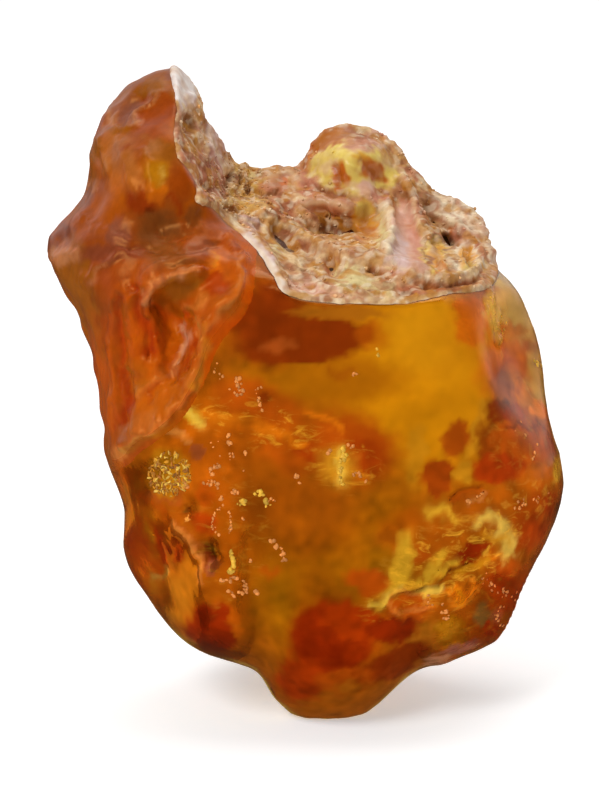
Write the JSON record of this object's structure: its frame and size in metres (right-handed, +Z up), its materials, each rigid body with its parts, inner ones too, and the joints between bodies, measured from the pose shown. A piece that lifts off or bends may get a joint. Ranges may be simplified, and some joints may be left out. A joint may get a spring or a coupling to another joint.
{
  "type": "amber stone",
  "caption": "Raw see-through amber stone with a rounded front window, a tall fin, a ridged flank and a broken, crusted top.",
  "frame": {"origin": "middle of the flat spot that the stone rests on", "axes": "+Z up from the flat spot to the tip of the fin, -Y out of the front window, +X to the right seen from the front"},
  "size_m": [0.0471, 0.0347, 0.0569],
  "materials": {
    "amber": "clear honey-coloured resin, polished smooth on the front and weathered to a tan crust on the broken top"
  },
  "bodies": {
    "root": {"amber_stone": "amber"}
  },
  "joints": []
}
